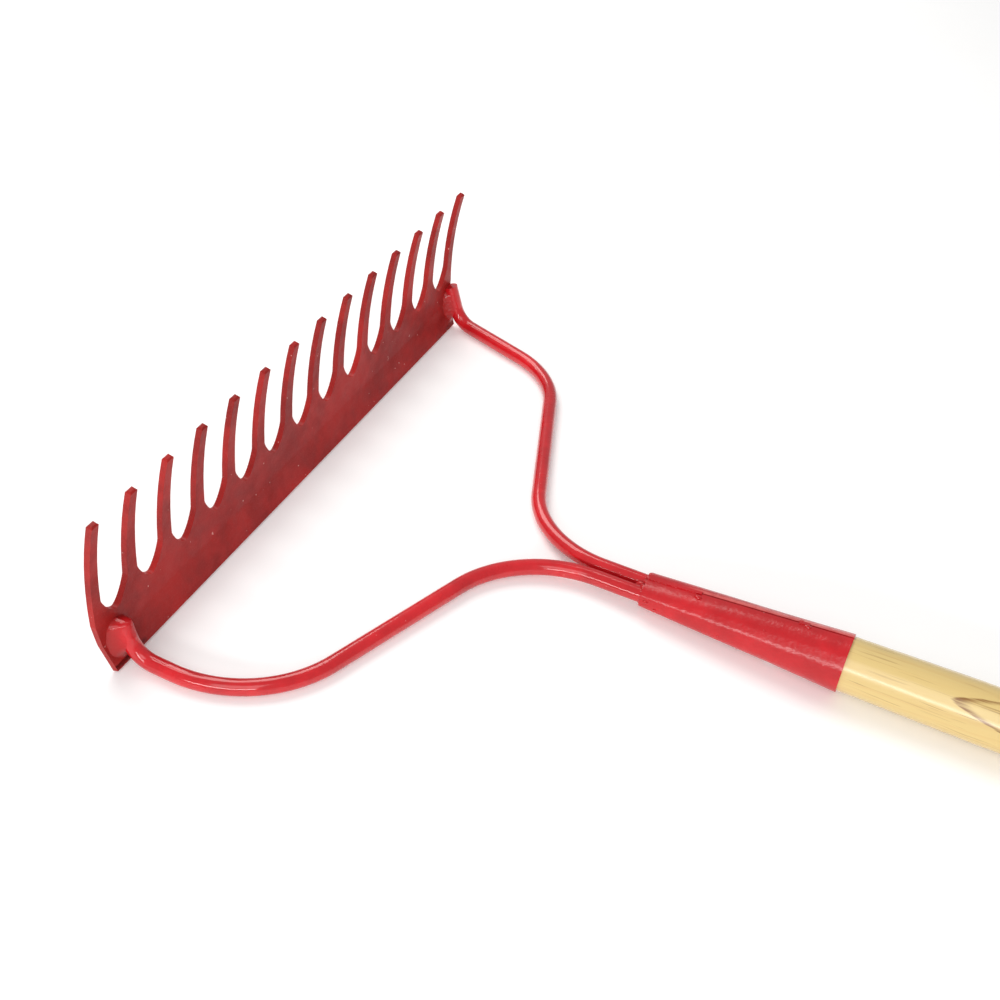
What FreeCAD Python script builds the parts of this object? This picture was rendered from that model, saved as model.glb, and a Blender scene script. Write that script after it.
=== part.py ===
import FreeCAD, Part

# Bow rake, in millimetres: a stamped and bent steel head with fourteen teeth, two round bow rods welded to its
# ends, a rolled sheet socket pressed and welded around the rods' tails, and a wooden handle held in the socket by
# one screw.
#
# The origin is the middle of the head's straight back edge. +X runs along the handle away from the head, +Y runs
# across the head and +Z is the way the teeth point, so the rake lies teeth up. "Left" is the -Y side.

import math
import os
from FreeCAD import Vector

# Head: one bent steel stamping.
TOOTH_COUNT = 14
TOOTH_PITCH = 26.0
TOOTH_ROOT_WIDTH = 6.9
TOOTH_TIP_WIDTH = 4.6
SHEET = 3.0
HEAD_WIDTH = 334.0  # along the straight back edge
SHOULDER_WIDTH = 342.0  # at the foot of the outer teeth
SHOULDER_HEIGHT = 27.3
PLATE_LENGTH = 14.7  # straight part, up the slope of the plate
PLATE_LEAN = 18.8  # degrees the plate leans away from the handle
BEND_RADIUS = 9.0  # of the middle of the sheet, at the crease above the straight part
TOOTH_ROOT_LEAN = -6.1  # degrees the sheet leans towards the handle just above the crease
TOOTH_TIP_LEAN = 12.5  # and at the tips, after one long even curve
TOOTH_LENGTH = 70.8  # along that curve
GAP_FLOOR = 27.4  # height of the bottom of the gaps
GAP_ROUND_HEIGHT = 11.7  # from there up to where a gap's sides run straight
GAP_WIDENING = 1.25  # exponents that shape the bottom of a gap between a V and a U
GAP_RISING = 1.64
GAP_POINTS = 8
TIP_CHAMFER = 0.8

# Bow: two round rods. The left one meets the plate nearer the middle of the head than the right one.
ROD_DIAMETER = 8.1
BOW_HEIGHT = 3.2  # of the bow's plane and of the handle's axis, above the back edge
LEG_BEND_RADIUS = 13.0
SLANT_ANGLE = 70.5  # degrees between a rod's slanting run and the handle
ROD_GAP = 1.4  # between the two tails
ROD_END = 207.0
# Each rod: side, distance of its leg from the middle, the leg's length up the plate from the bow's plane to the
# sawn end, the corner where its lead would meet its slanting run, and the radii of the bends at that shoulder
# and at the throat.
LEFT_BOW = (-1, 157.5, 18.0, (67.8, 159.5), 60.0, 60.0)
RIGHT_BOW = (1, 167.5, 23.5, (77.3, 143.5), 54.0, 54.0)

# Socket: rolled sheet, round at the mouth and pressed flat around the two tails.
SOCKET_START = 188.8
SOCKET_MOUTH = 289.5
SOCKET_SHEET = 1.0
NECK_WIDTH = 19.8
NECK_HEIGHT = 13.2
NECK_SQUARENESS = 2.5  # exponent of the pressed end's outline; 2 is a plain oval
PRESSED_SHARE = 2 / 3  # of the socket's length; beyond it the outline is a plain oval
SECTION_POINTS = 32
SECTION_COUNT = 6
SEAM_ANGLE = 80.0  # degrees from +Y, so the seam runs just off the top
SEAM_GAP = 0.9
SEAM_WELD_END = 216.0
SEAM_TACK = 266.0
SEAM_TACK_LENGTH = 5.0
SEAM_BEAD_WIDTH = 2.6
SEAM_BEAD_RISE = 0.6

# Handle and its screw.
HANDLE_DIAMETER = 28.6
HANDLE_DIAMETER_AT_MOUTH = 26.8  # the shaft swells from here to its full thickness
SHAFT_START = 350.0  # where it reaches it
HANDLE_LENGTH = 1200.0
HANDLE_START = 219.0
HANDLE_TIP_RADIUS = 6.5
HANDLE_FIT = 0.05  # all round, where the handle fills the mouth
BUTT_RADIUS = 9.0
SCREW_X = 256.0
SCREW_DIAMETER = 3.6
SCREW_LENGTH = 14.0
SCREW_POINT = 3.0
SCREW_HEAD_DIAMETER = 7.6
SCREW_HEAD_HEIGHT = 1.9
SCREW_SLOT = 1.0
SCREW_CROWN = (0.78, 0.72)  # a point on the rounded crown, as shares of the head's radius and height
SCREW_FIT = 0.05  # in the wood
SCREW_CLEARANCE = 0.2  # in the sheet

# Welds.
WELD_FIT = 0.02  # left between a bead and the steel it lies on
WIDE_WELD_REACH = 10.5  # along the plate, from the rod's axis
SLIM_WELD_REACH = 6.0
CORNER_WELD_REACH = 4.4  # where the rod stands at the very end of the plate
WELD_THROAT = 5.4  # how far a bead stands off the plate
WELD_HALF_LENGTH = 11.5
WELD_MIDDLE = 11.0  # up the plate from the bow's plane
COLLAR_REACH = 4.5  # along the rods, where they enter the socket
COLLAR_RISE = 2.2

X_AXIS = Vector(1, 0, 0)
Y_AXIS = Vector(0, 1, 0)
Z_AXIS = Vector(0, 0, 1)
ROD_RADIUS = ROD_DIAMETER / 2
TAIL_OFFSET = ROD_RADIUS + ROD_GAP / 2
HANDLE_RADIUS = HANDLE_DIAMETER / 2
FITTED_RADIUS = HANDLE_DIAMETER_AT_MOUTH / 2
MOUTH_RADIUS = FITTED_RADIUS + HANDLE_FIT + SOCKET_SHEET
LAST_TOOTH = (TOOTH_COUNT - 1) / 2 * TOOTH_PITCH
TIP_HEIGHT = PLATE_LENGTH + TOOTH_LENGTH + 2.0  # clears the tips
BEYOND = 60.0  # clear of whatever is being cut


def up_sheet(lean):
    """Unit vector up the sheet where it leans towards the handle by so many degrees."""
    angle = math.radians(lean)
    return Vector(math.sin(angle), 0, math.cos(angle))


def off_sheet(lean):
    """Unit vector square to the sheet, on its front, the side the handle is on."""
    angle = math.radians(lean)
    return Vector(math.cos(angle), 0, -math.sin(angle))


def line(start, end):
    return Part.LineSegment(start, end).toShape()


def loop(corners):
    """Closed straight-sided wire through the corners."""
    return Part.Wire([line(a, b) for a, b in zip(corners, corners[1:] + corners[:1])])


def sheet_side(offset):
    """Profile of the head this far in front of the sheet's middle: straight plate, bend, and curved teeth."""
    bend_centre = up_sheet(-PLATE_LEAN) * PLATE_LENGTH + off_sheet(-PLATE_LEAN) * BEND_RADIUS
    tooth_radius = TOOTH_LENGTH / math.radians(TOOTH_TIP_LEAN - TOOTH_ROOT_LEAN)
    tooth_centre = bend_centre + off_sheet(TOOTH_ROOT_LEAN) * (tooth_radius - BEND_RADIUS)

    def on_bend(lean):
        return bend_centre - off_sheet(lean) * (BEND_RADIUS - offset)

    def on_tooth(lean):
        return tooth_centre - off_sheet(lean) * (tooth_radius - offset)

    bend_middle = (TOOTH_ROOT_LEAN - PLATE_LEAN) / 2
    tooth_middle = (TOOTH_ROOT_LEAN + TOOTH_TIP_LEAN) / 2
    return [
        line(off_sheet(-PLATE_LEAN) * offset, on_bend(-PLATE_LEAN)),
        Part.Arc(on_bend(-PLATE_LEAN), on_bend(bend_middle), on_bend(TOOTH_ROOT_LEAN)).toShape(),
        Part.Arc(on_tooth(TOOTH_ROOT_LEAN), on_tooth(tooth_middle), on_tooth(TOOTH_TIP_LEAN)).toShape(),
    ]


def bent_blank(clearance=0.0):
    """The bent sheet before its gaps are punched, thickened on both sides by the clearance."""
    back = sheet_side(-SHEET / 2 - clearance)
    front = sheet_side(SHEET / 2 + clearance)
    bottom = line(back[0].firstVertex().Point, front[0].firstVertex().Point)
    tip = line(back[-1].lastVertex().Point, front[-1].lastVertex().Point)
    outline = Part.Wire(Part.__sortEdges__(back + [tip] + front + [bottom]))
    length = SHOULDER_WIDTH + 2 * TOOTH_ROOT_WIDTH
    blank = Part.Face(outline).extrude(Y_AXIS * length)
    blank.translate(Y_AXIS * (-length / 2))
    return blank


def punch(outline):
    """Cutting tool with this outline in the YZ plane, passing right through the sheet."""
    tool = Part.Face(outline).extrude(X_AXIS * (2 * BEYOND))
    tool.translate(X_AXIS * -BEYOND)
    return tool


def gap_punch(middle):
    """The gap between two teeth: a pointed U whose sides go on straight, opening towards the tips."""
    half_root = (TOOTH_PITCH - TOOTH_ROOT_WIDTH) / 2
    half_top = (TOOTH_PITCH - TOOTH_TIP_WIDTH) / 2
    points = []
    for i in range(-GAP_POINTS, GAP_POINTS + 1):
        angle = math.radians(90.0 * i / GAP_POINTS)
        across = math.copysign(abs(math.sin(angle)) ** GAP_WIDENING, i) * half_root
        rise = (1 - math.cos(angle) ** GAP_RISING) * GAP_ROUND_HEIGHT
        points.append(Vector(0, middle + across, GAP_FLOOR + rise))
    floor = Part.BSplineCurve()
    floor.interpolate(Points=points)
    low_left, low_right = points[0], points[-1]
    top_left, top_right = Vector(0, middle - half_top, TIP_HEIGHT), Vector(0, middle + half_top, TIP_HEIGHT)
    sides = [line(low_right, top_right), line(top_right, top_left), line(top_left, low_left)]
    return punch(Part.Wire([floor.toShape()] + sides))


def end_punch(side):
    """Trims one end of the sheet: outside the last tooth, and the plate's end as it narrows to the back edge."""
    profile = [
        (HEAD_WIDTH / 2 + BEYOND, -BEYOND),
        (HEAD_WIDTH / 2, -SHEET),
        (HEAD_WIDTH / 2, 0.0),
        (SHOULDER_WIDTH / 2, SHOULDER_HEIGHT),
        (LAST_TOOTH + TOOTH_TIP_WIDTH / 2, TIP_HEIGHT),
        (HEAD_WIDTH / 2 + BEYOND, TIP_HEIGHT),
    ]
    return punch(loop([Vector(0, side * y, z) for y, z in profile]))


def tip_edges(head):
    """The four edges around the sheared end of every tooth."""
    tip_height = sheet_side(0)[-1].lastVertex().Point.z
    largest = SHEET * TOOTH_TIP_WIDTH * 2
    ends = [face for face in head.Faces if abs(face.CenterOfMass.z - tip_height) < SHEET / 4 and face.Area < largest]
    return [edge for face in ends for edge in face.Edges]


def make_head():
    gaps = [gap_punch((i + 1) * TOOTH_PITCH - LAST_TOOTH - TOOTH_PITCH / 2) for i in range(TOOTH_COUNT - 1)]
    head = bent_blank().cut(gaps + [end_punch(-1), end_punch(1)]).Solids[0]
    return head.makeChamfer(TIP_CHAMFER, tip_edges(head)).Solids[0]


def rounded_path(corners, radii):
    """Wire through straight runs between the corners, with an arc of the given radius at each inner corner."""
    edges = []
    start = corners[0]
    for before, corner, after, radius in zip(corners, corners[1:], corners[2:], radii):
        come = (corner - before).normalize()
        go = (after - corner).normalize()
        half_turn = come.getAngle(go) / 2
        setback = radius * math.tan(half_turn)
        inward = (go - come).normalize()
        centre = corner + inward * (radius / math.cos(half_turn))
        arc_start, arc_end = corner - come * setback, corner + go * setback
        edges.append(line(start, arc_start))
        edges.append(Part.Arc(arc_start, centre - inward * radius, arc_end).toShape())
        start = arc_end
    edges.append(line(start, corners[-1]))
    return Part.Wire(edges)


def leg_corner(side, leg_side):
    """Where a leg's axis crosses the bow's plane, with the rod resting on the front of the plate."""
    stand_off = off_sheet(-PLATE_LEAN) * (SHEET / 2 + ROD_RADIUS + WELD_FIT)
    climb = (BOW_HEIGHT - stand_off.z) / up_sheet(-PLATE_LEAN).z
    return stand_off + up_sheet(-PLATE_LEAN) * climb + Y_AXIS * (side * leg_side)


def make_bow_rod(bow, radius=ROD_RADIUS):
    """One rod from its sawn end on the plate, round shoulder and throat, to its tail in the socket."""
    side, leg_side, leg_length, shoulder, shoulder_radius, throat_radius = bow
    leg = leg_corner(side, leg_side)
    run = (shoulder[1] - TAIL_OFFSET) / math.tan(math.radians(SLANT_ANGLE))
    corners = [
        leg + up_sheet(-PLATE_LEAN) * leg_length,
        leg,
        Vector(shoulder[0], side * shoulder[1], BOW_HEIGHT),
        Vector(shoulder[0] + run, side * TAIL_OFFSET, BOW_HEIGHT),
        Vector(ROD_END, side * TAIL_OFFSET, BOW_HEIGHT),
    ]
    path = rounded_path(corners, [LEG_BEND_RADIUS, shoulder_radius, throat_radius])
    start_circle = Part.Wire(Part.makeCircle(radius, corners[0], corners[1] - corners[0]))
    return path.makePipeShell([start_circle], True, False)


def make_coped_rod(bow):
    """A rod with its sawn end ground to sit against the sheet, where the sheet bends towards it."""
    return make_bow_rod(bow).cut(bent_blank(WELD_FIT)).Solids[0]


def half_space(point, normal):
    """A big block on the side of the plane that the normal points to."""
    block = Part.makeBox(8 * BEYOND, 8 * BEYOND, 8 * BEYOND, Vector(-4 * BEYOND, -4 * BEYOND, 0))
    block.Placement = FreeCAD.Placement(point, FreeCAD.Rotation(Z_AXIS, normal))
    return block


def make_leg_weld(bow, outward, reach):
    """A bead in the corner between a leg and the plate, on the leg's outer (+1) or inner (-1) side."""
    side, leg_side = bow[0], bow[1]
    lean = up_sheet(-PLATE_LEAN)
    leg = leg_corner(side, leg_side) - off_sheet(-PLATE_LEAN) * ROD_RADIUS
    middle = leg + lean * WELD_MIDDLE
    bead = Part.makeSphere(1.0)
    stretch = FreeCAD.Matrix()
    stretch.scale(WELD_THROAT, reach, WELD_HALF_LENGTH)
    bead = bead.transformGeometry(stretch)
    bead.Placement = FreeCAD.Placement(middle, FreeCAD.Rotation(Y_AXIS, -PLATE_LEAN))
    off_plate = half_space(leg, off_sheet(-PLATE_LEAN))
    sideways = Y_AXIS * (side * outward)
    this_side = half_space(leg + sideways * WELD_FIT, sideways)
    bead = bead.common(off_plate).common(this_side)
    return bead.cut([make_bow_rod(bow, ROD_RADIUS + WELD_FIT), bent_blank(WELD_FIT)]).Solids[0]


def socket_section(x, inset):
    """Closed outline of the socket at x, drawn in by inset: pressed oval at the neck, circle at the mouth."""
    blend = (x - SOCKET_START) / (SOCKET_MOUTH - SOCKET_START)
    half_width = NECK_WIDTH / 2 + (MOUTH_RADIUS - NECK_WIDTH / 2) * blend - inset
    half_height = NECK_HEIGHT / 2 + (MOUTH_RADIUS - NECK_HEIGHT / 2) * blend - inset
    power = 2 / (NECK_SQUARENESS + (2 - NECK_SQUARENESS) * min(1.0, blend / PRESSED_SHARE))
    points = []
    for i in range(SECTION_POINTS):
        angle = 2 * math.pi * i / SECTION_POINTS
        across = math.copysign(abs(math.cos(angle)) ** power, math.cos(angle))
        upward = math.copysign(abs(math.sin(angle)) ** power, math.sin(angle))
        points.append(Vector(x, half_width * across, BOW_HEIGHT + half_height * upward))
    outline = Part.BSplineCurve()
    outline.interpolate(Points=points, PeriodicFlag=True)
    return Part.Wire(outline.toShape())


def socket_solid(inset):
    step = (SOCKET_MOUTH - SOCKET_START) / (SECTION_COUNT - 1)
    stations = [SOCKET_START + step * i for i in range(SECTION_COUNT)]
    return Part.makeLoft([socket_section(x, inset) for x in stations], True)


def seam_block(width, start, end, low, high):
    """A bar along the seam, from low to high above the handle's axis, before it is tilted to the seam's angle."""
    bar = Part.makeBox(end - start, width, high - low, Vector(start, -width / 2, low))
    tilt = FreeCAD.Rotation(X_AXIS, SEAM_ANGLE - 90.0)
    bar.Placement = FreeCAD.Placement(Z_AXIS * BOW_HEIGHT, tilt)
    return bar


def screw_frame():
    """Placement of the screw: its seat on the underside of the socket, +Z pointing out of the handle."""
    slope = math.atan((MOUTH_RADIUS - NECK_HEIGHT / 2) / (SOCKET_MOUTH - SOCKET_START))
    blend = (SCREW_X - SOCKET_START) / (SOCKET_MOUTH - SOCKET_START)
    half_height = NECK_HEIGHT / 2 + (MOUTH_RADIUS - NECK_HEIGHT / 2) * blend
    out = Vector(-math.sin(slope), 0, -math.cos(slope))
    seat = Vector(SCREW_X, 0, BOW_HEIGHT - half_height) + out * WELD_FIT
    return FreeCAD.Placement(seat, FreeCAD.Rotation(Z_AXIS, out))


def make_screw():
    """Round-head wood screw with a straight slot."""
    radius = SCREW_DIAMETER / 2
    head_radius = SCREW_HEAD_DIAMETER / 2
    crown = Vector(0, 0, SCREW_HEAD_HEIGHT)
    crown_middle = Vector(head_radius * SCREW_CROWN[0], 0, SCREW_HEAD_HEIGHT * SCREW_CROWN[1])
    neck_turn, point = Vector(radius, 0, SCREW_POINT - SCREW_LENGTH), Vector(0, 0, -SCREW_LENGTH)
    outline = Part.Wire([
        line(point, neck_turn),
        line(neck_turn, Vector(radius, 0, 0)),
        line(Vector(radius, 0, 0), Vector(head_radius, 0, 0)),
        Part.Arc(Vector(head_radius, 0, 0), crown_middle, crown).toShape(),
        line(crown, point),
    ])
    screw = Part.Face(outline).revolve(Vector(), Z_AXIS, 360)
    slot_floor = Vector(-head_radius, -SCREW_SLOT / 2, SCREW_HEAD_HEIGHT / 2)
    screw = screw.cut(Part.makeBox(SCREW_HEAD_DIAMETER, SCREW_SLOT, SCREW_HEAD_HEIGHT, slot_floor))
    screw.Placement = screw_frame()
    return screw.Solids[0]


def screw_hole(clearance):
    bottom = -SCREW_LENGTH - clearance
    hole = Part.makeCylinder(SCREW_DIAMETER / 2 + clearance, 2 * SCREW_LENGTH, Vector(0, 0, bottom))
    hole.Placement = screw_frame()
    return hole


def make_socket():
    tube = socket_solid(0.0).cut(socket_solid(SOCKET_SHEET))
    seam = seam_block(SEAM_GAP, SOCKET_START - 1, SOCKET_MOUTH + 1, 0.0, 2 * MOUTH_RADIUS)
    return tube.cut([seam, screw_hole(SCREW_CLEARANCE)]).Solids[0]


def make_seam_bead(start, end):
    """A low bead that fills the seam and stands a little proud of the sheet."""
    inner = socket_solid(SOCKET_SHEET)
    proud = socket_solid(-SEAM_BEAD_RISE)
    skin = socket_solid(-WELD_FIT)
    strip = seam_block(SEAM_BEAD_WIDTH, start, end, 0.0, 2 * MOUTH_RADIUS).common(proud).cut(skin)
    root = seam_block(SEAM_GAP - 2 * WELD_FIT, start, end, 0.0, 2 * MOUTH_RADIUS).common(proud).cut(inner)
    return strip.fuse(root).Solids[0]


def make_socket_rod_weld():
    """The collar of weld where the two rods enter the neck, filling in between and around them."""
    start, end = SOCKET_START - COLLAR_REACH, SOCKET_START - WELD_FIT
    small = socket_section(SOCKET_START, COLLAR_RISE)
    small.translate(X_AXIS * (start - SOCKET_START))
    large = socket_section(SOCKET_START, SOCKET_SHEET / 2)
    large.translate(X_AXIS * (end - SOCKET_START))
    collar = Part.makeLoft([small, large], True)
    rods = [make_bow_rod(bow, ROD_RADIUS + WELD_FIT) for bow in (LEFT_BOW, RIGHT_BOW)]
    return collar.cut(rods).Solids[0]


def make_handle():
    """Turned handle: cone inside the socket, a slight swell outside it, straight shaft, rounded butt."""
    end = HANDLE_START + HANDLE_LENGTH
    shoulder = end - BUTT_RADIUS
    middle = math.sqrt(0.5) * BUTT_RADIUS
    flat = HANDLE_RADIUS - BUTT_RADIUS
    profile = Part.Wire([
        line(Vector(HANDLE_START, 0, 0), Vector(HANDLE_START, HANDLE_TIP_RADIUS, 0)),
        line(Vector(HANDLE_START, HANDLE_TIP_RADIUS, 0), Vector(SOCKET_MOUTH, FITTED_RADIUS, 0)),
        line(Vector(SOCKET_MOUTH, FITTED_RADIUS, 0), Vector(SHAFT_START, HANDLE_RADIUS, 0)),
        line(Vector(SHAFT_START, HANDLE_RADIUS, 0), Vector(shoulder, HANDLE_RADIUS, 0)),
        Part.Arc(Vector(shoulder, HANDLE_RADIUS, 0), Vector(shoulder + middle, flat + middle, 0),
                 Vector(end, flat, 0)).toShape(),
        line(Vector(end, flat, 0), Vector(end, 0, 0)),
        line(Vector(end, 0, 0), Vector(HANDLE_START, 0, 0)),
    ])
    handle = Part.Face(profile).revolve(Vector(), X_AXIS, 360)
    handle.translate(Z_AXIS * BOW_HEIGHT)
    pilot = screw_hole(SCREW_FIT)
    return handle.cut(pilot).Solids[0]


nodes = {
    "rake_head": make_head(),
    "left_bow_rod": make_coped_rod(LEFT_BOW),
    "right_bow_rod": make_coped_rod(RIGHT_BOW),
    "left_outer_weld": make_leg_weld(LEFT_BOW, 1, WIDE_WELD_REACH),
    "left_inner_weld": make_leg_weld(LEFT_BOW, -1, SLIM_WELD_REACH),
    "right_outer_weld": make_leg_weld(RIGHT_BOW, 1, CORNER_WELD_REACH),
    "right_inner_weld": make_leg_weld(RIGHT_BOW, -1, WIDE_WELD_REACH),
    "handle_socket": make_socket(),
    "socket_rod_weld": make_socket_rod_weld(),
    "socket_seam_weld": make_seam_bead(SOCKET_START, SEAM_WELD_END),
    "socket_seam_tack": make_seam_bead(SEAM_TACK - SEAM_TACK_LENGTH / 2, SEAM_TACK + SEAM_TACK_LENGTH / 2),
    "wooden_handle": make_handle(),
    "handle_screw": make_screw(),
}

os.makedirs("parts", exist_ok=True)
for name, shape in nodes.items():
    shape.exportStep(f"parts/{name}.step")
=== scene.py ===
import math
import random

import bpy
from mathutils import Matrix, Vector, noise


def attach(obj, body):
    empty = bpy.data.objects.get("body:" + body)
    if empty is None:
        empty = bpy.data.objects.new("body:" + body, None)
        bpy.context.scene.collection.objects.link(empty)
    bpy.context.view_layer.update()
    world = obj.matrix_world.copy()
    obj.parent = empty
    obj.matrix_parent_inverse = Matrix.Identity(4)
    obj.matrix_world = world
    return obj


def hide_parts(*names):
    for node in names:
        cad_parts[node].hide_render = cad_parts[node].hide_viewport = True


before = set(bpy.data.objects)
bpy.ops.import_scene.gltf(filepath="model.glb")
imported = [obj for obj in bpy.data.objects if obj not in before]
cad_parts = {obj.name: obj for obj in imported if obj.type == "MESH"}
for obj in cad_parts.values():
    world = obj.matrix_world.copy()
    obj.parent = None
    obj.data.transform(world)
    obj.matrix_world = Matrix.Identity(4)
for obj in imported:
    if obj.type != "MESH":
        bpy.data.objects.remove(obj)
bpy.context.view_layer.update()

MM = 0.001
SEED = 7

# The frame's own sizes, in metres, that the looks are built on.
PLATE_LEAN = math.radians(18.8)
SHEET = 3.0 * MM
ROD_RADIUS = 4.05 * MM
BOW_HEIGHT = 3.2 * MM
SOCKET_START = 188.8 * MM
SOCKET_MOUTH = 289.5 * MM
NECK_HALF_WIDTH = 9.9 * MM
NECK_HALF_HEIGHT = 6.6 * MM
MOUTH_RADIUS = 14.45 * MM
SEAM_WELD_END = 216.0 * MM
STRAIGHT_PLATE = 14.7 * MM
BEND_RUN = 1.0 * MM  # up the sheet, over which it starts to turn
SHEET_TURN = math.radians(12.7)  # how much the sheet turns towards the handle above its straight part

# The brown figure in the wood: a pointed arch that opens along the handle.
FIGURE_X = 0.337
FIGURE_LENGTH = 0.023
FIGURE_TURN = math.radians(131)
FIGURE_SPREAD = math.radians(27)

# The plate's ends: half its width at the back edge, and how much wider it is where the teeth begin.
HEAD_HALF_WIDTH = 167.0 * MM
SHOULDER_FLARE = 4.0 * MM
SHOULDER_HEIGHT = 27.3 * MM
LEFT_LEG = 157.5 * MM
RIGHT_LEG = 167.5 * MM

# The welds over the legs. Heights are up the leg from the bow's plane.
WELD_LOW, WELD_HIGH = -1.0 * MM, 24.6 * MM
WELD_ACROSS_STEPS, WELD_UP_STEPS = 56, 76
WELD_FIT = 0.02 * MM
FULL_REACH = 9.0 * MM  # the weld is as broad as it gets from this height up
RISE_FROM, RISE_TO = 1.5 * MM, 10.0 * MM  # it grows out of the plate between these heights
COVER_FROM, COVER_TO = 8.0 * MM, 14.0 * MM  # and covers the rod's crown between these
BURIED = 0.45 * MM  # how deep it hides inside the rod lower down
FILLET_START = 0.80  # of the rod's radius, where the slope to the plate takes over from the crown
FILLET_TOP = 0.60  # of the rod's radius, above its axis
FILLET_HOLLOW = 1.7  # exponent of the slope
FILLET_SUNK = 0.35 * MM
TOP_FADE = 0.55  # share of the rounded top after which the weld dies into the sheet
EDGE_MARGIN = 0.25 * MM
EDGE_FADE_FROM, EDGE_FADE_TO = -0.5 * MM, 4.0 * MM  # distance from the plate's end
LUMP_FROM, LUMP_TO = 0.2 * MM, 2.0 * MM  # lumps grow between these heights above the plate
HIDDEN = 0.15 * MM  # faces deeper than this in the sheet are left out
SKIRT = 0.3 * MM

# Lumps of weld and spatter.
BLOB_RINGS, BLOB_SIDES = 10, 14
COLLAR_STEP = 30  # degrees between the lumps around the neck
COLLAR_HALF_WIDTH = 7.2 * MM
COLLAR_HALF_HEIGHT = 4.4 * MM

EDGE_SEGMENTS = 3
EDGE_ANGLE = math.radians(38)

UP_PLATE = Vector((-math.sin(PLATE_LEAN), 0, math.cos(PLATE_LEAN)))
OFF_PLATE = Vector((math.cos(PLATE_LEAN), 0, math.sin(PLATE_LEAN)))


# ---------------------------------------------------------------- materials

class Graph:
    """A thin helper that adds shader nodes and wires them by name."""

    def __init__(self, name):
        self.material = bpy.data.materials.new(name)
        self.material.use_nodes = True
        self.tree = self.material.node_tree
        self.tree.nodes.clear()
        self.surface = self.add("ShaderNodeBsdfPrincipled")
        output = self.add("ShaderNodeOutputMaterial")
        self.link(self.surface.outputs["BSDF"], output.inputs["Surface"])
        self.position = self.add("ShaderNodeTexCoord").outputs["Object"]

    def add(self, kind, **settings):
        node = self.tree.nodes.new(kind)
        for key, value in settings.items():
            setattr(node, key, value)
        return node

    def link(self, source, target):
        self.tree.links.new(source, target)

    def put(self, target, value):
        """Wires a socket, or sets a plain value."""
        if isinstance(value, bpy.types.NodeSocket):
            self.link(value, target)
        else:
            target.default_value = value

    def math(self, operation, a, b=0.0):
        node = self.add("ShaderNodeMath", operation=operation)
        self.put(node.inputs[0], a)
        self.put(node.inputs[1], b)
        return node.outputs[0]

    def stretched(self, x, y, z):
        """Object coordinates scaled by x, y and z."""
        node = self.add("ShaderNodeMapping")
        self.link(self.position, node.inputs["Vector"])
        node.inputs["Scale"].default_value = (x, y, z)
        return node.outputs["Vector"]

    def noise(self, scale, detail=2.0, rough=0.5, vector=None):
        node = self.add("ShaderNodeTexNoise")
        self.link(vector or self.position, node.inputs["Vector"])
        node.inputs["Scale"].default_value = scale
        node.inputs["Detail"].default_value = detail
        node.inputs["Roughness"].default_value = rough
        return node.outputs["Fac"]

    def ramp(self, value, low, high, to_low=0.0, to_high=1.0):
        node = self.add("ShaderNodeMapRange", interpolation_type="SMOOTHSTEP")
        self.put(node.inputs["Value"], value)
        for name, number in (("From Min", low), ("From Max", high), ("To Min", to_low), ("To Max", to_high)):
            node.inputs[name].default_value = number
        return node.outputs["Result"]

    def mix(self, factor, a, b):
        node = self.add("ShaderNodeMix", data_type="RGBA")
        self.put(node.inputs["Factor"], factor)
        self.put(node.inputs[6], a)
        self.put(node.inputs[7], b)
        return node.outputs[2]

    def bump(self, height, distance, strength=1.0, normal=None):
        node = self.add("ShaderNodeBump")
        self.link(height, node.inputs["Height"])
        node.inputs["Distance"].default_value = distance
        node.inputs["Strength"].default_value = strength
        if normal is not None:
            self.link(normal, node.inputs["Normal"])
        return node.outputs["Normal"]

    def axis(self, name):
        node = self.add("ShaderNodeSeparateXYZ")
        self.link(self.position, node.inputs[0])
        return node.outputs[name]


def colour(r, g, b):
    return (r, g, b, 1.0)


DUST = colour(0.42, 0.06, 0.05)
CHIP = colour(0.80, 0.46, 0.42)
# Painted highlight: the paler red of the strip beside the socket's seam, standing in for light on the lap's
# edge.
SEAM_LAP_HIGHLIGHT = colour(0.80, 0.20, 0.18)
LIGHT_WOOD = colour(0.74, 0.56, 0.225)
DEEP_WOOD = colour(0.65, 0.46, 0.165)
STREAK = colour(0.68, 0.46, 0.17)
LATEWOOD = colour(0.58, 0.34, 0.11)
PORE = colour(0.28, 0.14, 0.04)
FIGURE = colour(0.25, 0.11, 0.022)

# The log that the handle was cut from: where its middle lay, how it leaned, and its rings.
LOG_Y, LOG_Z = 0.030, 0.036
LOG_LEAN = 0.035
LOG_LEVEL_AT = 0.40
RING_WANDER = 0.010
RING_SPACING = 0.0036


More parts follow.
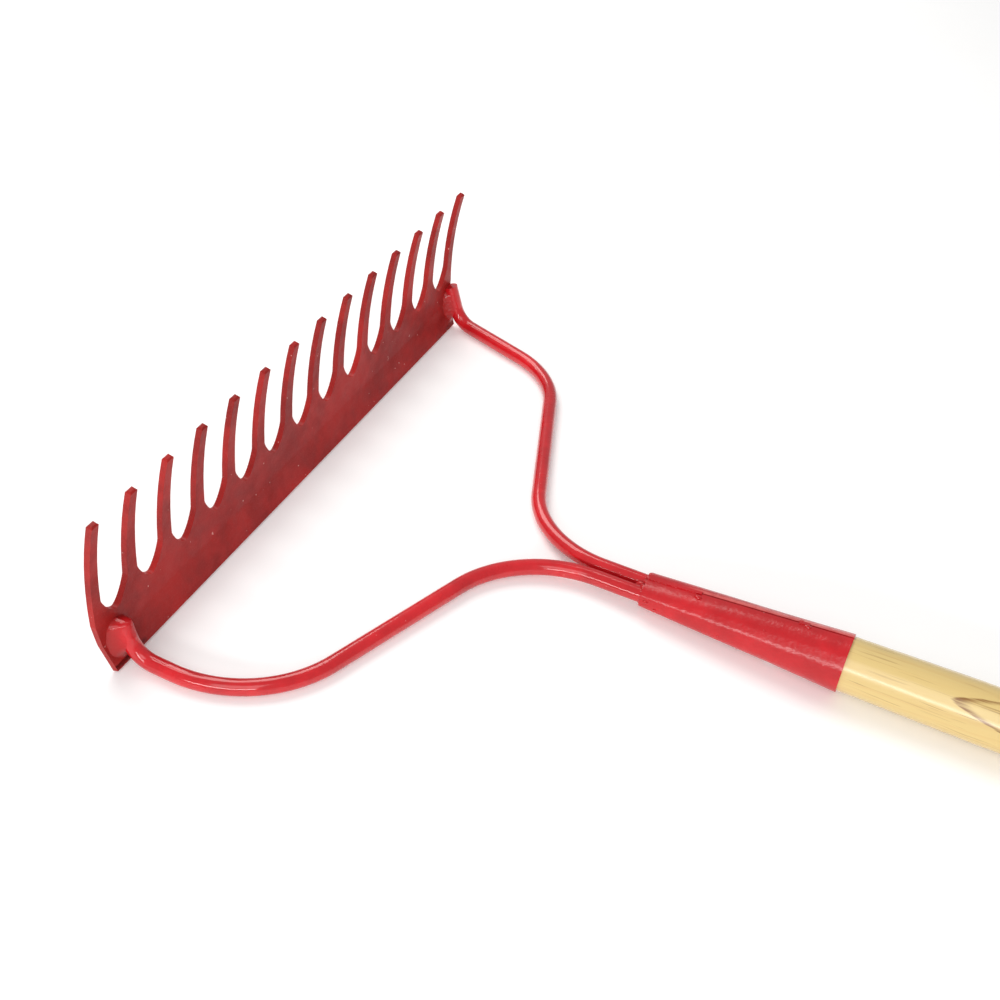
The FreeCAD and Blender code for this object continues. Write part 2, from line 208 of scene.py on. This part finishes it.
def paint(name, bright, deep, gloss, peel, coat=0.1, film=0.1, dust=0.0, specks=0.5, seam=False, foot=None):
    """Sprayed red enamel: uneven film, orange peel, dust in the film, and pin-head chips showing paler.

    gloss is the roughness of the colour and film that of the clear top; peel scales the waves. seam adds a
    painted highlight, a paler strip beside the socket's seam, and foot is the colour that the paint fades to
    where it meets the plate.
    """
    g = Graph(name)
    drift = g.noise(28, 3.0, 0.55)
    cloud = g.noise(160, 4.0, 0.6)
    depth = g.math("ADD", g.math("MULTIPLY", drift, 0.7), g.math("MULTIPLY", cloud, 0.3))
    base = g.mix(g.ramp(depth, 0.34, 0.66), colour(*deep), colour(*bright))
    fine = g.noise(1300, 3.0, 0.65)
    grain = g.math("MULTIPLY", g.ramp(fine, 0.45, 0.75), dust)
    base = g.mix(grain, base, DUST)
    spots = g.noise(420, 1.0, 0.4)
    chip = g.math("MULTIPLY", g.ramp(spots, 0.775, 0.80), specks)
    base = g.mix(chip, base, CHIP)
    # Painted highlight: a paler strip beside the seam on the socket's upper side, where the lap's edge catches
    # the light.
    if seam:
        turn = g.math("ARCTAN2", g.math("SUBTRACT", g.axis("Z"), BOW_HEIGHT), g.axis("Y"))
        band = g.math("MULTIPLY", g.ramp(turn, 1.02, 1.16), g.ramp(turn, 1.30, 1.38, 1.0, 0.0))
        along = g.ramp(g.axis("X"), SEAM_WELD_END - 12 * MM, SEAM_WELD_END + 4 * MM)
        lap_highlight = g.math("MULTIPLY", g.math("MULTIPLY", band, along), g.ramp(cloud, 0.25, 0.6, 0.25, 0.6))
        base = g.mix(lap_highlight, base, SEAM_LAP_HIGHLIGHT)
    if foot:
        off_in_x = g.math("MULTIPLY", g.axis("X"), OFF_PLATE.x)
        off_in_z = g.math("MULTIPLY", g.axis("Z"), OFF_PLATE.z)
        off_plate = g.math("ADD", off_in_x, off_in_z)
        base = g.mix(g.ramp(off_plate, SHEET / 2 + 0.3 * MM, SHEET / 2 + 6.5 * MM), colour(*foot), base)
    g.put(g.surface.inputs["Base Color"], base)
    patchy = g.noise(90, 3.0, 0.6)
    g.put(g.surface.inputs["Roughness"], g.ramp(patchy, 0.3, 0.7, gloss, gloss + 0.14))
    g.surface.inputs["Specular IOR Level"].default_value = 0.14
    g.surface.inputs["Coat Weight"].default_value = coat
    g.surface.inputs["Coat Roughness"].default_value = film
    coarse = g.noise(620, 2.0, 0.5)
    waves = g.bump(coarse, 0.00022 * peel, 0.7)
    sag = g.bump(g.noise(140, 2.0, 0.5), 0.0007 * peel, 0.5, waves)
    normal = g.bump(fine, 0.00003, 0.6, sag)
    g.link(normal, g.surface.inputs["Normal"])
    g.link(sag, g.surface.inputs["Coat Normal"])
    return g.material


def ash_wood(name):
    """Lacquered ash: rings of a log cut on a slant, long pores, a brown figure near the socket."""
    g = Graph(name)
    x, y, z = g.axis("X"), g.axis("Y"), g.axis("Z")
    wander = g.noise(1.0, 3.0, 0.5, g.stretched(5, 22, 22))
    wobble = g.math("MULTIPLY", g.math("SUBTRACT", wander, 0.5), RING_WANDER)
    lean = g.math("MULTIPLY", g.math("SUBTRACT", x, LOG_LEVEL_AT), LOG_LEAN)
    across = g.math("ADD", g.math("SUBTRACT", y, LOG_Y), lean)
    rise = g.math("ADD", z, LOG_Z)
    squared = g.math("ADD", g.math("POWER", across, 2.0), g.math("POWER", rise, 2.0))
    radius = g.math("ADD", g.math("SQRT", squared), wobble)
    turns = g.math("DIVIDE", radius, RING_SPACING)
    saw = g.math("FRACT", turns)
    ring = g.ramp(saw, 0.55, 0.97)
    fall = g.ramp(saw, 0.97, 1.0, 1.0, 0.0)
    latewood = g.math("MULTIPLY", ring, fall)
    streaks = g.noise(1.0, 4.0, 0.6, g.stretched(6, 480, 480))
    pores = g.noise(1.0, 2.0, 0.5, g.stretched(24, 900, 900))
    pore = g.ramp(pores, 0.61, 0.68)
    pore_in_ring = g.math("MULTIPLY", pore, g.ramp(saw, 0.0, 0.5, 1.0, 0.35))
    tone = g.noise(1.0, 2.0, 0.5, g.stretched(3, 60, 60))
    base = g.mix(tone, LIGHT_WOOD, DEEP_WOOD)
    base = g.mix(g.ramp(streaks, 0.35, 0.75, 0.0, 0.35), base, STREAK)
    base = g.mix(g.math("MULTIPLY", latewood, 0.20), base, LATEWOOD)
    base = g.mix(g.math("MULTIPLY", pore_in_ring, 0.72), base, PORE)
    turn = g.math("ARCTAN2", g.math("SUBTRACT", z, BOW_HEIGHT), y)
    off = g.math("ABSOLUTE", g.math("SUBTRACT", turn, FIGURE_TURN))
    arch = g.math("POWER", g.math("DIVIDE", off, FIGURE_SPREAD), 1.5)
    depth = g.math("SUBTRACT", g.math("DIVIDE", g.math("SUBTRACT", x, FIGURE_X), FIGURE_LENGTH), arch)
    depth = g.math("ADD", depth, g.math("MULTIPLY", g.math("SUBTRACT", streaks, 0.5), 0.35))
    band = g.math("MULTIPLY", g.ramp(depth, 0.0, 0.10), g.ramp(depth, 0.12, 0.48, 1.0, 0.0))
    second = g.math("MULTIPLY", g.ramp(depth, 1.0, 1.12), g.ramp(depth, 1.15, 1.6, 0.6, 0.0))
    figure = g.math("MULTIPLY", g.math("MAXIMUM", band, second), g.ramp(pores, 0.30, 0.55, 0.45, 1.0))
    base = g.mix(figure, base, FIGURE)
    g.put(g.surface.inputs["Base Color"], base)
    smear = g.noise(40, 3.0, 0.6)
    g.put(g.surface.inputs["Roughness"], g.ramp(smear, 0.3, 0.7, 0.30, 0.42))
    g.surface.inputs["Coat Weight"].default_value = 0.7
    g.surface.inputs["Coat Roughness"].default_value = 0.2
    long_waves = g.bump(streaks, 0.00012, 0.7)
    normal = g.bump(pore_in_ring, 0.00010, -0.7, long_waves)
    g.link(normal, g.surface.inputs["Normal"])
    g.link(long_waves, g.surface.inputs["Coat Normal"])
    return g.material


def zinc(name):
    """Dull plated steel with a few darker handling marks."""
    g = Graph(name)
    marks = g.noise(700, 4.0, 0.6)
    g.put(g.surface.inputs["Base Color"], g.mix(marks, colour(0.42, 0.42, 0.41), colour(0.68, 0.68, 0.66)))
    g.surface.inputs["Metallic"].default_value = 1.0
    g.put(g.surface.inputs["Roughness"], g.ramp(marks, 0.2, 0.8, 0.26, 0.48))
    g.link(g.bump(g.noise(2400, 2.0), 0.00003), g.surface.inputs["Normal"])
    return g.material


def paper(name):
    """Matt white paper with the faintest warm and cool clouds, a little brighter than life."""
    g = Graph(name)
    cloud = g.noise(5.5, 3.0, 0.55)
    warm, cool = colour(0.905, 0.895, 0.885), colour(0.925, 0.925, 0.925)
    g.put(g.surface.inputs["Base Color"], g.mix(cloud, warm, cool))
    g.put(g.surface.inputs["Roughness"], g.ramp(g.noise(60), 0.3, 0.7, 0.75, 0.9))
    g.surface.inputs["Specular IOR Level"].default_value = 0.15
    g.surface.inputs["Emission Color"].default_value = colour(1.0, 0.99, 0.98)
    g.surface.inputs["Emission Strength"].default_value = 0.15
    g.link(g.bump(g.noise(220, 3.0), 0.0001, 0.3), g.surface.inputs["Normal"])
    return g.material


head_paint = paint("head_paint", (0.41, 0.015, 0.013), (0.24, 0.008, 0.007), 0.42, 0.6,
                   coat=0.10, film=0.26, dust=0.28, specks=0.6)
rod_paint = paint("rod_paint", (0.64, 0.012, 0.018), (0.46, 0.008, 0.012), 0.24, 0.22,
                  coat=0.9, film=0.055, specks=0.2)
socket_paint = paint("socket_paint", (0.60, 0.012, 0.018), (0.44, 0.008, 0.012), 0.30, 0.75,
                     coat=0.55, film=0.21, specks=0.25, seam=True)
weld_paint = paint("weld_paint", (0.60, 0.011, 0.016), (0.44, 0.007, 0.010), 0.24, 0.6,
                   coat=0.7, film=0.08, specks=0.25)
leg_weld_paint = paint("leg_weld_paint", (0.60, 0.011, 0.016), (0.42, 0.007, 0.010), 0.26, 0.6,
                       coat=0.5, film=0.10, specks=0.3, foot=(0.36, 0.012, 0.011))
wood = ash_wood("ash_wood")
plating = zinc("zinc_plating")


# ---------------------------------------------------------------- CAD nodes

def dress(node, material, bevel=0.0):
    """Gives a CAD node its look and, where asked, a small round on its sharp edges."""
    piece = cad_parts[node]
    piece.data.materials.clear()
    piece.data.materials.append(material)
    if bevel:
        edge = piece.modifiers.new("edge", "BEVEL")
        edge.width = bevel
        edge.segments = EDGE_SEGMENTS
        edge.limit_method = "ANGLE"
        edge.angle_limit = EDGE_ANGLE
        edge.harden_normals = True
        edge.use_clamp_overlap = True


dress("rake_head", head_paint, 0.45 * MM)
dress("left_bow_rod", rod_paint, 0.4 * MM)
dress("right_bow_rod", rod_paint, 0.4 * MM)
dress("handle_socket", socket_paint, 0.3 * MM)
dress("socket_seam_weld", socket_paint)
dress("socket_seam_tack", socket_paint)
dress("wooden_handle", wood)
dress("handle_screw", plating)


# ---------------------------------------------------------------- welds

def mesh_piece(name, vertices, faces, material):
    """A smooth-shaded mesh object."""
    mesh = bpy.data.meshes.new(name)
    mesh.from_pydata([tuple(v) for v in vertices], [], faces)
    mesh.materials.append(material)
    mesh.polygons.foreach_set("use_smooth", [True] * len(faces))
    mesh.update()
    piece = bpy.data.objects.new(name, mesh)
    bpy.context.scene.collection.objects.link(piece)
    return piece


def smoothstep(low, high, value):
    t = min(1.0, max(0.0, (value - low) / (high - low)))
    return t * t * (3 - 2 * t)


def ragged(point, scale, seed):
    """Repeatable noise about zero."""
    return noise.noise(Vector(point) * scale + Vector((seed, seed * 1.7, -seed)))


def sheet_front(up):
    """How far the sheet's front stands off the straight plate's plane, this far up it."""
    return max(0.0, up - STRAIGHT_PLATE - BEND_RUN) * math.tan(SHEET_TURN)


def leg_weld(name, side, leg_side, outer_reach, inner_reach, end, hug, lump, seed):
    """The weld over a leg as a height field on the plate: high at the rod, sloping to the plate all round.

    The reaches are measured along the plate from the rod's axis. The weld rounds over from end upwards, stands
    above the rod's crown by hug, and is roughened by lump.
    """
    foot = OFF_PLATE * (SHEET / 2)
    rod_axis = ROD_RADIUS + WELD_FIT
    climb = (BOW_HEIGHT - (foot + OFF_PLATE * rod_axis).z) / UP_PLATE.z
    broadest = max(outer_reach, inner_reach)
    span = broadest + 1 * MM
    shoulder = ROD_RADIUS * FILLET_START
    vertices, bare = [], []
    for j in range(WELD_UP_STEPS + 1):
        h = WELD_LOW + (WELD_HIGH - WELD_LOW) * j / WELD_UP_STEPS
        floor = sheet_front(climb + h)
        flare = SHOULDER_FLARE * (BOW_HEIGHT + h * UP_PLATE.z) / SHOULDER_HEIGHT
        plate_end = HEAD_HALF_WIDTH + flare - EDGE_MARGIN
        over = max(0.0, h - end) / (WELD_HIGH - end)
        ends_fade = (1 - smoothstep(TOP_FADE, 1.0, over)) * smoothstep(RISE_FROM, RISE_TO, h)
        lift = (hug + BURIED) * smoothstep(COVER_FROM, COVER_TO, h) - BURIED
        for i in range(WELD_ACROSS_STEPS + 1):
            a = min(span * (2 * i / WELD_ACROSS_STEPS - 1), plate_end - leg_side)
            reach = outer_reach if a > 0 else inner_reach
            distance = math.hypot(a, over * broadest)
            reach_here = ROD_RADIUS + (reach - ROD_RADIUS) * smoothstep(0.0, FULL_REACH, h)
            reach_here *= 1 + 0.10 * ragged((h, a * 0.3, 0), 160, seed)
            crown = rod_axis + math.sqrt(max(0.0, ROD_RADIUS ** 2 - min(distance, ROD_RADIUS) ** 2))
            t = min(1.0, max(0.0, (distance - shoulder) / max(reach_here - shoulder, 0.1 * MM)))
            slope = (rod_axis + ROD_RADIUS * FILLET_TOP) * (1 - t) ** FILLET_HOLLOW - FILLET_SUNK * t
            blend = smoothstep(shoulder * 0.60, shoulder * 1.1, distance)
            level = (crown + lift) * (1 - blend) + slope * blend
            bumps = ragged((a, h, 0), 300, seed + 3) + 0.4 * ragged((a, h, 0), 700, seed + 9)
            level += lump * bumps * smoothstep(LUMP_FROM, LUMP_TO, level)
            level *= smoothstep(EDGE_FADE_FROM, EDGE_FADE_TO, plate_end - leg_side - a)
            level *= ends_fade
            bare.append(level < floor - HIDDEN)
            point = foot + UP_PLATE * (climb + h) + OFF_PLATE * max(level, floor - SKIRT)
            vertices.append((point.x, side * (leg_side + a), point.z))
    row = WELD_ACROSS_STEPS + 1
    faces = []
    for j in range(WELD_UP_STEPS):
        for i in range(WELD_ACROSS_STEPS):
            corner = j * row + i
            quad = (corner, corner + 1, corner + row + 1, corner + row)
            if not all(bare[k] for k in quad):
                faces.append(quad if side < 0 else quad[::-1])
    return mesh_piece(name, vertices, faces, leg_weld_paint)


left_weld = leg_weld("left_leg_weld", -1, LEFT_LEG, outer_reach=11.0 * MM, inner_reach=6.5 * MM,
                     end=18.6 * MM, hug=0.35 * MM, lump=0.20 * MM, seed=2.0)
right_weld = leg_weld("right_leg_weld", 1, RIGHT_LEG, outer_reach=4.6 * MM, inner_reach=9.0 * MM,
                      end=18.0 * MM, hug=-0.45 * MM, lump=1.0 * MM, seed=11.0)
for piece, nodes in ((left_weld, ("left_outer_weld", "left_inner_weld")),
                     (right_weld, ("right_outer_weld", "right_inner_weld"))):
    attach(piece, "root")
    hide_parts(*nodes)


def blob(centre, radii, seed, rough):
    """Vertices and faces of one lump: a ball drawn out along the axes and roughened."""
    vertices, faces = [], []
    for j in range(BLOB_RINGS + 1):
        polar = math.pi * j / BLOB_RINGS
        for i in range(BLOB_SIDES):
            turn = 2 * math.pi * i / BLOB_SIDES
            d = Vector((math.sin(polar) * math.cos(turn), math.sin(polar) * math.sin(turn), math.cos(polar)))
            d *= 1 + rough * noise.noise(d * 1.8 + Vector((seed, seed, seed)))
            vertices.append((centre[0] + d.x * radii[0], centre[1] + d.y * radii[1], centre[2] + d.z * radii[2]))
    for j in range(BLOB_RINGS):
        for i in range(BLOB_SIDES):
            k = (i + 1) % BLOB_SIDES
            low, high = j * BLOB_SIDES, (j + 1) * BLOB_SIDES
            faces.append((low + i, high + i, high + k, low + k))
    return vertices, faces


def lumps(name, items, material):
    """Several blobs as one piece."""
    vertices, faces = [], []
    for seed, (centre, radii, rough) in enumerate(items):
        more, sheets = blob(centre, radii, seed + SEED, rough)
        faces += [tuple(v + len(vertices) for v in f) for f in sheets]
        vertices += more
    return mesh_piece(name, vertices, faces, material)


random.seed(SEED)
collar_items = []
for turn in range(0, 360, COLLAR_STEP):
    angle = math.radians(turn)
    across, upward = COLLAR_HALF_WIDTH * math.cos(angle), COLLAR_HALF_HEIGHT * math.sin(angle)
    centre = (SOCKET_START - 0.2 * MM, across, BOW_HEIGHT + upward)
    size = random.uniform(1.2, 1.8) * MM
    collar_items.append((centre, (size * 1.2, size * 1.25, size), 0.2))
between_rods = (SOCKET_START - 2.0 * MM, 0, BOW_HEIGHT + 1.0 * MM)
collar_items.append((between_rods, (3.6 * MM, 1.9 * MM, 2.4 * MM), 0.15))
neck_corner = (SOCKET_START + 0.5 * MM, 6.2 * MM, BOW_HEIGHT + 4.1 * MM)
collar_items.append((neck_corner, (2.0 * MM, 1.8 * MM, 1.5 * MM), 0.2))
collar = lumps("socket_collar_weld", collar_items, weld_paint)
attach(collar, "root")
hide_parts("socket_rod_weld")


def socket_surface(x, angle):
    """A point on the outside of the socket, by its distance along and its angle from +Y towards +Z."""
    blend = (x - SOCKET_START) / (SOCKET_MOUTH - SOCKET_START)
    width = NECK_HALF_WIDTH + (MOUTH_RADIUS - NECK_HALF_WIDTH) * blend
    height = NECK_HALF_HEIGHT + (MOUTH_RADIUS - NECK_HALF_HEIGHT) * blend
    return x, width * math.cos(angle), BOW_HEIGHT + height * math.sin(angle)


# Each speck of spatter: distance along in mm, angle from +Y towards +Z in degrees, and size in mm.
spatter_items = []
for x, turn, size in ((192, 170, 1.0), (197, 192, 0.6), (215, 100, 1.3), (207, 150, 0.45), (230, 190, 0.4),
                      (250, 130, 0.4), (264.5, 76, 1.0), (268, 88, 1.2), (240, 225, 0.45)):
    centre = socket_surface(x * MM, math.radians(turn))
    spatter_items.append((centre, (size * 1.5 * MM, size * MM, size * 0.75 * MM), 0.25))
spatter = lumps("weld_spatter", spatter_items, weld_paint)
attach(spatter, "root")


# ---------------------------------------------------------------- floor, light and camera

FLOOR_UNDER_HEAD = -1.0 * MM
FLOOR_DROP = 11.9 * MM
DROP_START, DROP_END = 0.09, 0.31


def floor_sheet():
    """A wide sheet that lies close under the head and sinks gently to pass under the socket and the handle."""
    half, steps = 9.0, 64
    stations = [-half] + [DROP_START + (DROP_END - DROP_START) * i / steps for i in range(steps + 1)] + [half]
    vertices = []
    for x in stations:
        z = FLOOR_UNDER_HEAD - FLOOR_DROP * smoothstep(DROP_START, DROP_END, x)
        vertices += [(x, -half, z), (x, half, z)]
    faces = [(2 * i, 2 * i + 2, 2 * i + 3, 2 * i + 1) for i in range(len(stations) - 1)]
    return mesh_piece("paper_floor", vertices, faces, paper("paper"))


floor_sheet()


def softbox(name, place, target, width, height, power, tint=(1.0, 1.0, 1.0)):
    light = bpy.data.lights.new(name, "AREA")
    light.shape = "RECTANGLE"
    light.size = width
    light.size_y = height
    light.energy = power
    light.color = tint
    holder = bpy.data.objects.new(name, light)
    holder.location = place
    holder.rotation_euler = (Vector(target) - Vector(place)).to_track_quat("-Z", "Y").to_euler()
    bpy.context.scene.collection.objects.link(holder)


softbox("key", (-0.75, 0.55, 1.35), (0.12, 0.0, 0.0), 1.1, 1.1, 17.0, (1.0, 0.985, 0.96))
softbox("window", (0.45, -1.15, 1.25), (0.15, 0.0, 0.0), 0.9, 0.9, 6.0)
softbox("strip", (0.35, -1.7, 0.60), (0.15, 0.0, 0.0), 1.5, 0.2, 15.0)

world = bpy.data.worlds.new("studio")
world.use_nodes = True
world.node_tree.nodes["Background"].inputs["Color"].default_value = (0.97, 0.985, 1.0, 1.0)
world.node_tree.nodes["Background"].inputs["Strength"].default_value = 0.46
bpy.context.scene.world = world

CAMERA_PLACE = (0.30610, -0.51659, 0.47684)
CAMERA_LENS = 52.05
right = Vector((0.9032, 0.4207, 0.0850))
up = Vector((-0.3274, 0.5475, 0.7701))
back = right.cross(up).normalized()
up = back.cross(right).normalized()
camera_data = bpy.data.cameras.new("camera")
camera_data.sensor_width = 36.0
camera_data.lens = CAMERA_LENS
camera_data.clip_start = 0.01
camera = bpy.data.objects.new("camera", camera_data)
camera.matrix_world = Matrix((right, up, back)).transposed().to_4x4()
camera.location = CAMERA_PLACE
bpy.context.scene.collection.objects.link(camera)
bpy.context.scene.camera = camera
bpy.context.scene.view_settings.view_transform = "Standard"
